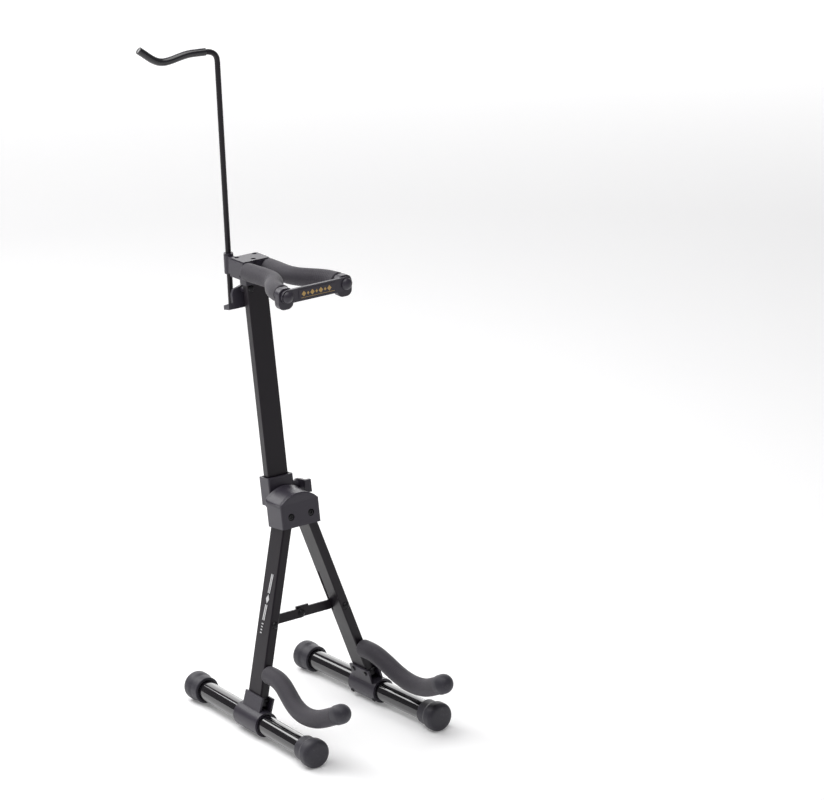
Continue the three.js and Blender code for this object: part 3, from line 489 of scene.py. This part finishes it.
def softened(node, width, left_sharp=None):
    """The node's own shape with its sharp edges rounded over, but for those `left_sharp`."""
    bm = bmesh.new()
    bm.from_mesh(nodes[node].data)
    bmesh.ops.remove_doubles(bm, verts=bm.verts, dist=SAME_POINT)
    bmesh.ops.dissolve_limit(bm, angle_limit=math.radians(FLAT_ANGLE),
                             verts=bm.verts, edges=bm.edges)
    weights = bm.edges.layers.float.new("bevel_weight_edge")
    for edge in bm.edges:
        bent = edge.is_manifold and edge.calc_face_angle(0) > math.radians(BEVEL_ANGLE)
        edge[weights] = 1.0 if bent and not (left_sharp and left_sharp(edge)) else 0.0
    piece = new_piece(f"fine_{node}", bm)
    bevel = piece.modifiers.new("edges", "BEVEL")
    bevel.width = width
    bevel.segments = BEVEL_SEGMENTS
    bevel.limit_method = "WEIGHT"
    piece.modifiers.new("faces", "TRIANGULATE")
    normals = piece.modifiers.new("normals", "WEIGHTED_NORMAL")
    normals.keep_sharp = left_sharp is not None
    applied(piece)
    piece.data.shade_smooth()
    return finished(piece, node)


def applied(piece):
    """Turns a piece's modifiers into its mesh."""
    graph = bpy.context.evaluated_depsgraph_get()
    mesh = bpy.data.meshes.new_from_object(piece.evaluated_get(graph), depsgraph=graph)
    piece.modifiers.clear()
    piece.data = mesh
    return piece


# ---- Foam sleeves ------------------------------------------------------------------------------
FOAM_WRINKLE = 0.32 * MM  # depth
FOAM_WRINKLE_PITCH = 3.1 * MM
FOAM_WAVER = 0.12 * MM
FOAM_END_ROUNDING = 1.6 * MM
FOAM_SIDES = 56
FOAM_SPACING = 0.75 * MM
FOAM_BLUR = 7 * MM  # over which the CAD tube's straight steps are smoothed
SHARP_BEND = 9.0  # per metre: a bend this tight is fully wrinkled
WRINKLE_WRAP = 0.25  # how far the wrinkles reach round from the inside of a bend
WRINKLE_START = 8 * MM  # from the foam's end to full wrinkles
DRIFT_PITCH = 1 / 40  # metres
WAVER_PITCH = 1 / 55


def foam_sleeve(node):
    """A foam tube: rounded ends, small wrinkles on the inside of its bends, and a slight waver."""
    sides, spacing, radius = FOAM_SIDES, FOAM_SPACING, FOAM_RADIUS
    points = smoothed(centre_line(node, FORWARD, radius), spacing, FOAM_BLUR)
    tangents, ups, sideways = frames_along(points)
    bend = np.gradient(tangents, axis=0) / spacing
    curvature = np.linalg.norm(bend, axis=1)
    angles = np.linspace(0, 2 * math.pi, sides, endpoint=False)
    length = spacing * (len(points) - 1)
    seed = float(sum(ord(letter) for letter in node) % 97)
    outer = []
    for i, centre in enumerate(points):
        along = spacing * i
        from_end = min(along, length - along)
        inset = max(0.0, FOAM_END_ROUNDING - from_end)
        end_drop = FOAM_END_ROUNDING - math.sqrt(max(FOAM_END_ROUNDING ** 2 - inset ** 2, 0.0))
        inner_side = bend[i] / max(curvature[i], 1e-9)
        wrinkling = min(1.0, curvature[i] / SHARP_BEND) * min(1.0, from_end / WRINKLE_START)
        ring = []
        for angle in angles:
            out = ups[i] * math.cos(angle) + sideways[i] * math.sin(angle)
            inside = max(0.0, float(out @ inner_side) + WRINKLE_WRAP)
            drift = noise.noise(Vector((along / DRIFT_PITCH, angle * 0.8, seed)))
            phase = (along + 0.5 * MM * drift) / FOAM_WRINKLE_PITCH * 2 * math.pi
            crease = 0.5 + 0.5 * math.cos(phase)
            fold = FOAM_WRINKLE * wrinkling * inside * crease ** 2
            round_x, round_y = 1.6 * math.cos(angle), 1.6 * math.sin(angle)
            place = Vector((along / WAVER_PITCH, round_x, round_y + seed))
            waver = FOAM_WAVER * noise.noise(place)
            ring.append(centre + out * (radius - end_drop - fold + waver))
        outer.append(ring)
    inner = [circle(points[i], ups[i], sideways[i], FOAM_BORE, sides)
             for i in range(len(points) - 1, -1, -6)]
    inner.append(circle(points[0], ups[0], sideways[0], FOAM_BORE, sides))
    piece = new_piece(f"fine_{node}", ring_mesh(outer + inner, closed_loop=True), 60)
    finished(piece, node)


for side in SIDES:
    foam_sleeve(f"cradle_foam_{side}")
    foam_sleeve(f"yoke_foam_{side}")


# ---- Turned pieces -----------------------------------------------------------------------------
def axis_of(node, heading, radius):
    """Both ends of a straight tube's axis."""
    line = centre_line(node, heading, radius, step=10 * MM)
    return Vector(line[0]), Vector(line[-1])


def turned(origin, direction, profile, sides, loop=False):
    """A piece turned about an axis: (radius, height) points, heights along `direction`."""
    axis = Vector(direction).normalized()
    first = axis.orthogonal().normalized()
    across = np.array(first), np.array(axis.cross(first))
    rings = [circle(np.array(origin + axis * height), *across, radius, sides)
             for radius, height in profile]
    return ring_mesh(rings, closed_loop=loop)


def arc(centre_radius, centre_height, radius, start, end, steps=6):
    """(radius, height) points round a corner, angles in degrees from the radial direction."""
    points = []
    for i in range(steps + 1):
        turn = math.radians(start + (end - start) * i / steps)
        points.append((centre_radius + radius * math.cos(turn),
                       centre_height + radius * math.sin(turn)))
    return points


CAP_BORE = 13.0 * MM
CAP_MOUTH = {"front": 16.0 * MM, "rear": 17.0 * MM}
CAP_RADIUS = 18.5 * MM
CAP_LENGTH = 31 * MM
CAP_MOUTH_LENGTH = 13.5 * MM
CAP_SLOPE = 3 * MM
CAP_END_WALL = 5 * MM
CAP_ROUNDING = 6.5 * MM
CAP_LIP = 0.9 * MM
SOLE_HEIGHT = 0.02 * MM
TURNED_SIDES = 96


def foot_cap(node, end, inwards, mouth):
    """A rubber cap: thin mouth, thick rounded end and a flat worn on its underside."""
    shoulder = CAP_LENGTH - CAP_MOUTH_LENGTH
    profile = [(CAP_BORE - 0.4 * MM, CAP_END_WALL), (CAP_BORE, CAP_END_WALL + 0.4 * MM)]
    profile += [(CAP_BORE, CAP_LENGTH - 0.5 * MM), (CAP_BORE + 0.5 * MM, CAP_LENGTH)]
    profile += arc(mouth - CAP_LIP, CAP_LENGTH - CAP_LIP, CAP_LIP, 90, 0)
    foot, top = shoulder + 2.5 * MM, shoulder - CAP_SLOPE - 1.5 * MM
    steps = 8
    for i in range(steps + 1):
        share = i / steps
        profile.append((mouth + (CAP_RADIUS - mouth) * eased(share), foot + (top - foot) * share))
    face = CAP_RADIUS - CAP_ROUNDING
    profile += arc(face, CAP_ROUNDING, CAP_ROUNDING, 0, -72, 9)
    profile += [(face - 1.5 * MM, 0.15 * MM), (face - 4 * MM, 0.0), (3 * MM, 0.0)]
    bm = turned(end, inwards, profile, TURNED_SIDES)
    everything = bm.verts[:] + bm.edges[:] + bm.faces[:]
    floor = bmesh.ops.bisect_plane(bm, geom=everything, plane_co=(0, 0, SOLE_HEIGHT),
                                   plane_no=(0, 0, -1), clear_outer=True)
    cut = [e for e in floor["geom_cut"] if isinstance(e, bmesh.types.BMEdge)]
    if cut:
        bmesh.ops.holes_fill(bm, edges=cut, sides=0)
    finished(new_piece(f"fine_{node}", bm, 50), node)


def feet(side):
    tube = f"foot_tube_{side}"
    front, rear = axis_of(tube, FORWARD, TUBE_RADIUS)[::-1]
    along = (rear - front).normalized()
    length = (rear - front).length
    bore = TUBE_RADIUS - TUBE_WALL
    edge = 0.3 * MM
    profile = [(bore, 0), (TUBE_RADIUS - edge, 0), (TUBE_RADIUS, edge),
               (TUBE_RADIUS, length - edge), (TUBE_RADIUS - edge, length), (bore, length)]
    shell = turned(front, along, profile, TURNED_SIDES, loop=True)
    finished(new_piece(f"fine_{tube}", shell), tube)
    for end, point, inwards in (("front", front, along), ("rear", rear, -along)):
        outside = point - inwards * (CAP_END_WALL + FIT_GAP)
        foot_cap(f"foot_cap_{end}_{side}", outside, inwards, CAP_MOUTH[end])


for side in SIDES:
    feet(side)


# ---- Cradle tips -------------------------------------------------------------------------------
def cradle_tip(side):
    """A rubber thimble on the end of the foam."""
    node = f"cradle_tip_{side}"
    foam_line = centre_line(f"cradle_foam_{side}", FORWARD, FOAM_RADIUS)
    end = Vector(foam_line[-1])
    forward = (end - Vector(foam_line[-4])).normalized()
    start = end + forward * FIT_GAP
    lip = 1 * MM
    profile = [(1 * MM, TIP_LENGTH), (FOAM_BORE, TIP_LENGTH), (FOAM_BORE, 0.0)]
    profile += arc(TIP_RADIUS - lip, lip, lip, -90, 0, 4)
    profile += arc(0, TIP_LENGTH, TIP_RADIUS, 0, 84, 14)
    finished(new_piece(f"fine_{node}", turned(start, forward, profile, 64), 50), node)


for side in SIDES:
    cradle_tip(side)


# ---- Bow rod and hook --------------------------------------------------------------------------
def bow_rod():
    """The bare rod, and the dipped sleeve over its hook."""
    straight = middle("rod_bushing") + Vector((0, 0, 80 * MM))
    line = centre_line("bow_rod", (0, 0, 1), ROD_RADIUS, step=1.5 * MM, at=straight)
    points = smoothed(line, 1.5 * MM, 3 * MM)
    piece = new_piece("fine_bow_rod", round_bar(points, ROD_RADIUS, 0.8 * MM), 50)
    finished(piece, "bow_rod")
    on_hook = points[-30]
    heading = np.array(points[-1] - on_hook)
    heading[2] = 0
    heading /= np.linalg.norm(heading)
    sleeve = centre_line("hook_sleeve", heading, SLEEVE_RADIUS, step=1.5 * MM, at=on_hook)
    path = smoothed(sleeve, 1.2 * MM, 3 * MM)
    coat = new_piece("fine_hook_sleeve", round_bar(path, SLEEVE_RADIUS, 1.2 * MM, 40), 50)
    finished(coat, "hook_sleeve")


bow_rod()

# ---- Moulded and cut pieces with rounded edges -------------------------------------------------
for node, width in (  # millimetres of rounding
    ("collar_lever", 0.8), ("head_block", 0.7), ("head_lever", 0.8), ("gate_bar", 0.6),
    ("yoke_end_left", 0.9), ("yoke_end_right", 0.9),
    ("mast_tube", 0.35), ("mast_plug", 0.4), ("leg_tube_left", 0.45), ("leg_tube_right", 0.45),
    ("brace_link_left", 0.35), ("brace_link_right", 0.35), ("mast_liner", 0.25),
    ("bracket_outer_left", 0.5), ("bracket_outer_right", 0.5),
    ("bracket_inner_left", 0.5), ("bracket_inner_right", 0.5),
    ("hinge_bolt_left", 0.3), ("hinge_bolt_right", 0.3), ("collar_lever_screw", 0.3),
    ("head_bolt", 0.3),
):
    softened(node, width * MM)

# ---- Pivot head: the cover sits down on the housing, flush all round ---------------------------
COVER_CORNER = 2.5 * MM
COVER_SHOULDER = 1.6 * MM  # straight side above the housing
COVER_EDGE = 1.5 * MM
COVER_RIM = 1.2 * MM
COVER_RIM_REACH = 5.5 * MM
COVER_STEPS = {"x": 40, "y": 14, "corner": 6, "edge": 6}
COVER_RING = 0.9 * MM  # spacing of the rings across the top


def rounded_outline(half_x, half_y, radius):
    """A rectangle with round corners, anticlockwise from its front right corner."""
    sides = ((1, -1, 0, 1, "y"), (1, 1, -1, 0, "x"), (-1, 1, 0, -1, "y"), (-1, -1, 1, 0, "x"))
    points = []
    for turn, (x, y, go_x, go_y, axis) in enumerate(sides):
        core = np.array([x * (half_x - radius), y * (half_y - radius)])
        steps = COVER_STEPS["corner"]
        for i in range(steps + 1):
            angle = math.radians(90 * (turn - 1) + 90 * i / steps)
            points.append(core + radius * np.array([math.cos(angle), math.sin(angle)]))
        run = 2 * ((half_y if axis == "y" else half_x) - radius)
        start, steps = points[-1], COVER_STEPS[axis]
        points += [start + np.array([go_x, go_y]) * run * k / steps for k in range(1, steps)]
    return points


def pivot_cover():
    """An arched hood with rounded edges and a shallow dish between its two raised rims."""
    low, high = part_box("pivot_cover")
    centre = (low + high) / 2
    half_x, half_y = (high.x - low.x) / 2, (high.y - low.y) / 2
    base = low.z - FIT_GAP
    shoulder = COVER_SHOULDER + COVER_EDGE
    sag = high.z - base - shoulder
    bow = (half_x ** 2 + sag ** 2) / (2 * sag)

    def top(x, y):
        arch = shoulder + math.sqrt(bow ** 2 - min(abs(x), half_x) ** 2) - (bow - sag)
        from_rim = half_y - abs(y)
        return arch - COVER_RIM * eased((from_rim - COVER_EDGE * 0.6) / COVER_RIM_REACH)

    def ring(inset, drop):
        corner = max(COVER_CORNER - inset, 0.02 * MM)
        outline = rounded_outline(half_x - inset, half_y - inset, corner)
        return [(centre.x + x, centre.y + y, base + max(top(x, y) - drop, 0.3 * MM))
                for x, y in outline]

    rings = [[(x, y, base) for x, y, _ in ring(0, 0)]]
    for i in range(COVER_STEPS["edge"] + 1):
        turn = math.pi / 2 * i / COVER_STEPS["edge"]
        rings.append(ring(COVER_EDGE * (1 - math.cos(turn)), COVER_EDGE * (1 - math.sin(turn))))
    inset = COVER_EDGE
    while inset < half_y - 0.3 * MM:
        inset = min(inset + COVER_RING, half_y - 0.1 * MM)
        rings.append(ring(inset, 0))
    finished(new_piece("fine_pivot_cover", ring_mesh(rings), 50), "pivot_cover")
    return base


parting = pivot_cover()
softened("pivot_housing", 0.8 * MM,
         left_sharp=lambda edge: all(abs(v.co.z - parting) < 0.1 * MM for v in edge.verts))

# ---- Gate: bolts with domed heads, and a badge of gold lozenges over a fine line ---------------
GATE_BOLT_RIM = 1.0 * MM
GATE_BOLT_SHANK = 2.0 * MM
DOME_STEPS = 12


def gate_bolt(side):
    """A smooth domed head with a plain shank."""
    node = f"gate_bolt_{side}"
    low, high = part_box(node)
    centre = (low + high) / 2
    seat = low.y + GATE_HEAD_HEIGHT
    head, rim = GATE_HEAD_RADIUS, GATE_BOLT_RIM
    profile = [(0.3 * MM, seat - high.y), (GATE_BOLT_SHANK, seat - high.y), (GATE_BOLT_SHANK, 0.0)]
    profile += [(head - 0.2 * MM, 0.0), (head, 0.2 * MM), (head, rim)]
    crown = GATE_HEAD_HEIGHT - rim
    ball = (head ** 2 + crown ** 2) / (2 * crown)
    for i in range(1, DOME_STEPS + 1):
        radius = head * (1 - i / DOME_STEPS)
        height = rim + crown - ball + math.sqrt(ball ** 2 - radius ** 2)
        profile.append((max(radius, 0.15 * MM), height))
    bm = turned(Vector((centre.x, seat, centre.z)), FORWARD, profile, 64)
    finished(new_piece(f"fine_{node}", bm, 50), node)


for side in SIDES:
    gate_bolt(side)

FIELD_SHARE = 0.6  # of the badge's thickness
GOLD_SHARE = 0.38
LOZENGES = 7


def gate_badge():
    """Large and small lozenges in turn, and a line under them, on a dark field."""
    low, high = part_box("gate_badge")
    centre = (low + high) / 2
    width, depth, height = high.x - low.x, high.y - low.y, high.z - low.z
    across, up, out = Vector((1, 0, 0)), Vector((0, 0, 1)), Vector(FORWARD)
    back = Vector((centre.x, high.y, centre.z))
    field = Plates(back, across, up, out, depth * FIELD_SHARE)
    field.add(rectangle(0, 0, width / 2, height / 2))
    trim("badge_field", field.bm, "gate_badge", "moulded")
    gold = Plates(back + out * depth * (1 - GOLD_SHARE), across, up, out, depth * GOLD_SHARE)
    pitch = width * 0.8 / LOZENGES
    start = -width * 0.43
    for i in range(LOZENGES):
        size = pitch * (0.5 if i % 2 == 0 else 0.3)
        gold.add(lozenge(start + pitch * (i + 0.5), 0.3 * MM, size, size * 1.15))
    gold.add(rectangle(0.0, -0.4 * height, 0.45 * width, 0.2 * MM))
    finished(new_piece("fine_gate_badge", gold.bm, 30), "gate_badge")


gate_badge()

# ---- Leg mark: a lozenge between two pairs of lines, and a short row of bars -------------------
MARK_FROM = 0.54  # shares of the way from the hinge bolt to the brace bolt
MARK_TO = 1.1
MARK_HALF_WIDTH = 3.4 * MM
INK_THICKNESS = 0.08 * MM
INK_LIFT = 0.02 * MM


def leg_mark():
    """White ink on the outer face of the left leg."""
    hinge, brace = middle("hinge_bolt_left"), middle("brace_bolt_left")
    hinge.y = brace.y = middle("leg_tube_left").y
    down = (brace - hinge).normalized()
    across = Vector((0, 1, 0))
    out = down.cross(across)
    if out.x > 0:
        out = -out
    skin = max((Vector(v.co) - hinge).dot(out) for v in nodes["leg_tube_left"].data.vertices)
    ink_plates = Plates(hinge + out * (skin + INK_LIFT), across, down, out, INK_THICKNESS)
    reach = (brace - hinge).length
    start, end = reach * MARK_FROM, reach * MARK_TO
    span = end - start
    centre = start + span * 0.42
    for low, high in ((start, centre - 7.5 * MM), (centre + 7.5 * MM, end - span * 0.22)):
        for x in (-0.42 * MARK_HALF_WIDTH, 0.42 * MARK_HALF_WIDTH):
            ink_plates.add(rectangle(x, (low + high) / 2, 0.9 * MM, (high - low) / 2))
    ink_plates.add(lozenge(0, centre, MARK_HALF_WIDTH, 6 * MM))
    for i in range(4):
        ink_plates.add(rectangle(0, end - span * (0.16 - 0.05 * i), 1.8 * MM, 0.7 * MM))
    trim("leg_mark", ink_plates.bm, "leg_tube_left", "satin_metal", ink)


leg_mark()

# ---- CAD pieces that keep their shape ----------------------------------------------------------
SHARP_ANGLE = math.radians(38)

for name, node in nodes.items():
    node.data.materials.clear()
    node.data.materials.append(materials[slot_of[name]])
    node.data.shade_smooth()
    node.data.set_sharp_from_angle(angle=SHARP_ANGLE)


# ---- Floor, light and camera -------------------------------------------------------------------
def floor():
    bm = bmesh.new()
    bmesh.ops.create_grid(bm, x_segments=8, y_segments=8, size=40)
    piece = new_piece("studio_floor", bm)
    piece.data.materials.append(studio_floor())


def area_light(name, place, target, size, power):
    """A soft box at `place` that faces `target`; power in watts."""
    light = bpy.data.lights.new(name, "AREA")
    light.shape = "RECTANGLE"
    light.size, light.size_y = size
    light.energy = power
    lamp = bpy.data.objects.new(name, light)
    lamp.location = place
    lamp.rotation_euler = (Vector(target) - Vector(place)).to_track_quat("-Z", "Y").to_euler()
    bpy.context.scene.collection.objects.link(lamp)


def studio():
    """A broad light far behind, one overhead, and weak fills from the left and behind."""
    world = bpy.data.worlds.new("studio")
    world.use_nodes = True
    background = world.node_tree.nodes["Background"].inputs
    background["Color"].default_value = (1, 0.975, 1, 1)
    background["Strength"].default_value = 0.16
    bpy.context.scene.world = world
    bpy.context.scene.view_settings.view_transform = "Standard"
    stand_middle = (0, 0, 0.4)
    floor_behind = (-0.5, 0.9, 0)
    area_light("backdrop", (3.6, 5.6, 2.6), stand_middle, (8.4, 4.6), 260)
    area_light("overhead", (-0.5, -0.3, 2.7), stand_middle, (2.2, 2.2), 48)
    area_light("left_box", (-2.3, -0.6, 1.3), stand_middle, (0.8, 1.6), 2)
    area_light("rear_wash", (-0.7, 1.3, 1.5), floor_behind, (1.2, 1.2), 24)


def camera():
    azimuth = math.radians(VIEW_AZIMUTH)
    elevation = math.radians(VIEW_ELEVATION)
    roll = math.radians(VIEW_ROLL)
    level = math.cos(elevation)
    back = Vector((math.sin(azimuth) * level, -math.cos(azimuth) * level, math.sin(elevation)))
    right = Vector((math.cos(azimuth), math.sin(azimuth), 0))
    up = back.cross(right)
    aim = middle("pivot_cover") + right * AIM_RIGHT + up * AIM_UP
    turned_right = right * math.cos(roll) + up * math.sin(roll)
    turned_up = up * math.cos(roll) - right * math.sin(roll)
    data = bpy.data.cameras.new("camera")
    data.lens = VIEW_LENS
    data.sensor_width = VIEW_SENSOR
    data.clip_end = 100
    eye = bpy.data.objects.new("camera", data)
    axes = Matrix((turned_right, turned_up, back)).transposed()
    eye.matrix_world = Matrix.Translation(aim + back * VIEW_DISTANCE) @ axes.to_4x4()
    bpy.context.scene.collection.objects.link(eye)
    bpy.context.scene.camera = eye


floor()
studio()
camera()
